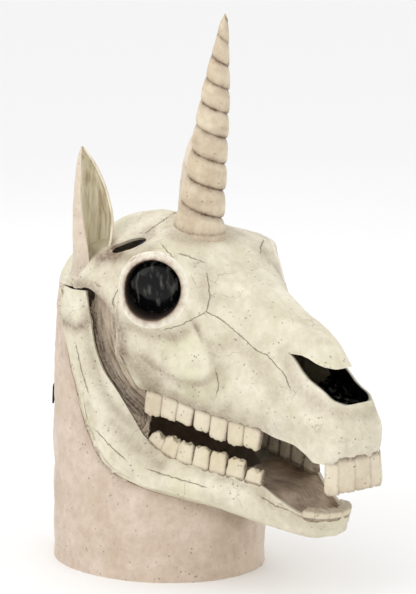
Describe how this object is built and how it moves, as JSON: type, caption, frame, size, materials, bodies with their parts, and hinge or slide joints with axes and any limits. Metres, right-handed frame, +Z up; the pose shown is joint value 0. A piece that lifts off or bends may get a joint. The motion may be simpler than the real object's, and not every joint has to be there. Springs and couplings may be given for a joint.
{
  "type": "horned horse skull mask",
  "caption": "Over-the-head latex mask shaped as a horse skull with a spiral horn, ears, open jaws with teeth and a neck sleeve.",
  "frame": {"origin": "middle of the outline on the floor, in the plane of the hem", "axes": "+Z up; the mask faces -Y; its own right side is -X"},
  "size_m": [0.1996, 0.4024, 0.5547],
  "materials": {
    "bone": "satin latex, painted ivory with a brown wash in the hollows",
    "neck": "satin latex, pinkish beige",
    "horn": "satin latex, beige ribs with brown grooves",
    "ear": "satin latex, streaked olive brown inside",
    "recess": "satin latex, washed brown",
    "socket": "latex shaded from brown to black",
    "black_gloss": "glossy black film",
    "gauze": "black gauze",
    "strap": "black woven elastic",
    "tooth": "satin latex, cream with dark outlines"
  },
  "bodies": {
    "root": {"skull_shell": "bone", "lower_jaw": "bone", "neck_sleeve": "neck", "cheek_web_right": "recess", "cheek_web_left": "recess", "horn": "horn", "ear_right": "ear", "ear_left": "ear", "eye_socket_right": "socket", "eye_socket_left": "socket", "eye_lens_right": "black_gloss", "eye_lens_left": "black_gloss", "temple_gauze_right": "gauze", "temple_gauze_left": "gauze", "nose_lining": "black_gloss", "palate": "recess", "mouth_floor": "recess", "back_strap_upper": "strap", "back_strap_lower": "strap", "upper_tooth_right_1": "tooth", "upper_tooth_right_2": "tooth", "upper_tooth_right_3": "tooth", "upper_tooth_right_4": "tooth", "upper_tooth_right_5": "tooth", "upper_tooth_right_6": "tooth", "upper_tooth_right_7": "tooth", "upper_tooth_left_1": "tooth", "upper_tooth_left_2": "tooth", "upper_tooth_left_3": "tooth", "upper_tooth_left_4": "tooth", "upper_tooth_left_5": "tooth", "upper_tooth_left_6": "tooth", "upper_tooth_left_7": "tooth", "upper_incisor_1": "tooth", "upper_incisor_2": "tooth", "upper_incisor_3": "tooth", "upper_incisor_4": "tooth", "upper_incisor_5": "tooth", "upper_incisor_6": "tooth", "lower_tooth_right_1": "tooth", "lower_tooth_right_2": "tooth", "lower_tooth_right_3": "tooth", "lower_tooth_right_4": "tooth", "lower_tooth_right_5": "tooth", "lower_tooth_right_6": "tooth", "lower_tooth_right_7": "tooth", "lower_tooth_left_1": "tooth", "lower_tooth_left_2": "tooth", "lower_tooth_left_3": "tooth", "lower_tooth_left_4": "tooth", "lower_tooth_left_5": "tooth", "lower_tooth_left_6": "tooth", "lower_tooth_left_7": "tooth", "lower_incisor_1": "tooth", "lower_incisor_2": "tooth", "lower_incisor_3": "tooth", "lower_incisor_4": "tooth", "lower_incisor_5": "tooth", "lower_incisor_6": "tooth"}
  },
  "joints": []
}
